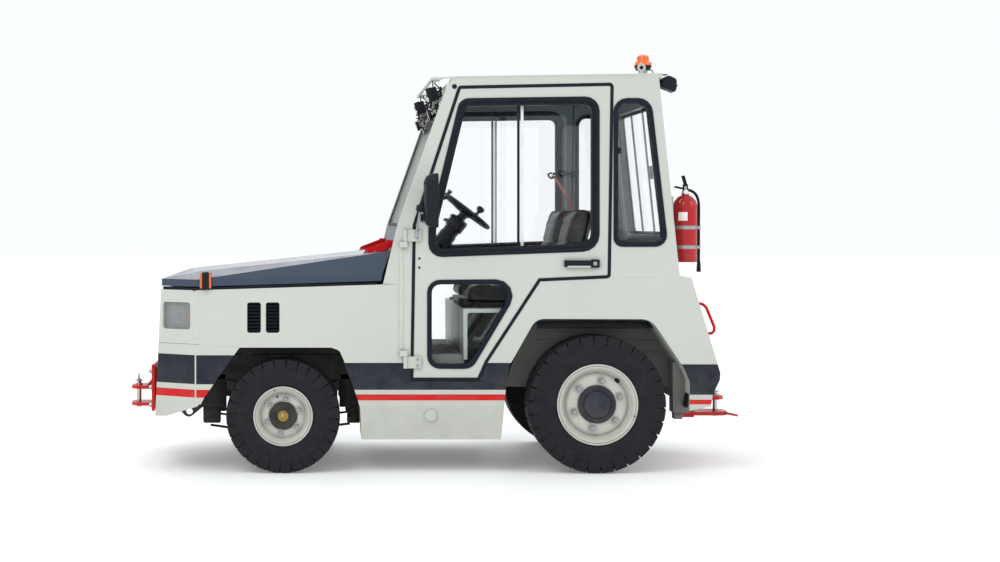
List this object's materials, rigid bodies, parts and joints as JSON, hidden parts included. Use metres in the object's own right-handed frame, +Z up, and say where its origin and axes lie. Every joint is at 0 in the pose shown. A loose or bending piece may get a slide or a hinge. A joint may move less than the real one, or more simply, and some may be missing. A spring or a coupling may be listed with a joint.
{
  "type": "airport baggage tug",
  "caption": "Airport towing tractor with a closed two-seat cab, hinged doors and bonnet, front steering, rolling wheels and a drop-pin hitch at each end.",
  "frame": {"origin": "on the ground under the middle of the overall length and width, mirrors included", "axes": "+X forward, +Y to the driver's left, +Z up"},
  "size_m": [3.301, 1.9, 2.1601],
  "materials": {
    "white_paint": "satin enamel",
    "slate_paint": "satin enamel",
    "red_paint": "gloss enamel",
    "black_paint": "chassis black, semi-matt",
    "grey_paint": "textured grey",
    "tyre_rubber": "moulded rubber",
    "plastic": "moulded, fine grain",
    "glass": "clear toughened",
    "steel": "zinc plated",
    "amber": "tinted lens",
    "seat_cover": "woven cloth and vinyl",
    "cast_iron": "as cast"
  },
  "bodies": {
    "tractor": {"beacon": "amber", "cab_cowl": "grey_paint", "cab_floor": "grey_paint", "cab_rear_panel": "white_paint", "cab_roof": "white_paint", "cab_side_left": "white_paint", "cab_side_right": "white_paint", "chassis_frame": "black_paint", "driver_seat": "seat_cover", "engine_block": "cast_iron", "fire_extinguisher": "red_paint", "front_axle": "black_paint", "front_bumper": "white_paint", "front_hitch": "red_paint", "front_hitch_pin": "steel", "front_work_lamps": "plastic", "grab_handle_left": "red_paint", "grab_handle_right": "red_paint", "nose_panel": "white_paint", "passenger_seat": "seat_cover", "quarter_window_left": "glass", "quarter_window_right": "glass", "rear_axle": "black_paint", "rear_fender_left": "white_paint", "rear_fender_right": "white_paint", "rear_hitch": "red_paint", "rear_hitch_pin": "steel", "rear_window": "glass", "rear_work_lamp": "plastic", "side_panel_left": "white_paint", "side_panel_right": "white_paint", "skirt_left": "white_paint", "skirt_right": "white_paint", "steering_column": "plastic", "tail_panel": "white_paint", "windscreen": "glass"},
    "bonnet": {"bonnet": "slate_paint"},
    "steering_wheel": {"steering_wheel": "plastic"},
    "tie_rod": {"tie_rod": "black_paint"},
    "door_left": {"door_left": "white_paint", "door_window_left": "glass", "door_lower_window_left": "glass", "door_mirror_left": "plastic"},
    "knuckle_left": {"steering_knuckle_left": "black_paint"},
    "front_wheel_left": {"front_rim_left": "white_paint", "front_tyre_left": "tyre_rubber"},
    "rear_wheel_left": {"rear_rim_left": "white_paint", "rear_tyre_left": "tyre_rubber"},
    "door_right": {"door_right": "white_paint", "door_window_right": "glass", "door_lower_window_right": "glass", "door_mirror_right": "plastic"},
    "knuckle_right": {"steering_knuckle_right": "black_paint"},
    "front_wheel_right": {"front_rim_right": "white_paint", "front_tyre_right": "tyre_rubber"},
    "rear_wheel_right": {"rear_rim_right": "white_paint", "rear_tyre_right": "tyre_rubber"}
  },
  "joints": [
    {"name": "steering_left", "type": "hinge", "parent": "tractor", "child": "knuckle_left", "pos_m": [0.8125, 0.5, 0.292], "axis": [0, 0, 1], "range_deg": [-38, 38]},
    {"name": "steering_right", "type": "hinge", "parent": "tractor", "child": "knuckle_right", "pos_m": [0.8125, -0.5, 0.292], "axis": [0, 0, 1], "range_deg": [-38, 38]},
    {"name": "tie_rod_swing", "type": "hinge", "parent": "knuckle_left", "child": "tie_rod", "pos_m": [0.6825, 0.5, 0.22], "axis": [0, 0, 1], "range_deg": [-38, 38]},
    {"name": "steering_wheel_turn", "type": "hinge", "parent": "tractor", "child": "steering_wheel", "pos_m": [-0.153, 0.33, 1.342], "axis": [-0.6157, 0, 0.788], "range_deg": [-570, 570]},
    {"name": "front_wheel_left_roll", "type": "hinge", "parent": "knuckle_left", "child": "front_wheel_left", "pos_m": [0.8125, 0.617, 0.292], "axis": [0, 1, 0], "continuous": true},
    {"name": "rear_wheel_left_roll", "type": "hinge", "parent": "tractor", "child": "rear_wheel_left", "pos_m": [-0.7915, 0.6025, 0.352], "axis": [0, 1, 0], "continuous": true},
    {"name": "door_left_swing", "type": "hinge", "parent": "tractor", "child": "door_left", "pos_m": [0.19, 0.737, 0.6], "axis": [0, 0, -1], "range_deg": [0, 80]},
    {"name": "front_wheel_right_roll", "type": "hinge", "parent": "knuckle_right", "child": "front_wheel_right", "pos_m": [0.8125, -0.617, 0.292], "axis": [0, 1, 0], "continuous": true},
    {"name": "rear_wheel_right_roll", "type": "hinge", "parent": "tractor", "child": "rear_wheel_right", "pos_m": [-0.7915, -0.6025, 0.352], "axis": [0, 1, 0], "continuous": true},
    {"name": "door_right_swing", "type": "hinge", "parent": "tractor", "child": "door_right", "pos_m": [0.19, -0.737, 0.6], "axis": [0, 0, 1], "range_deg": [0, 80]},
    {"name": "bonnet_lift", "type": "hinge", "parent": "tractor", "child": "bonnet", "pos_m": [0.268, 0, 1.172], "axis": [0, -1, 0], "range_deg": [0, 55]}
  ],
  "couplings": [
    {"joint": "steering_right", "follows": "steering_left", "ratio": 1},
    {"joint": "tie_rod_swing", "follows": "steering_left", "ratio": -1},
    {"joint": "steering_wheel_turn", "follows": "steering_left", "ratio": 15}
  ]
}
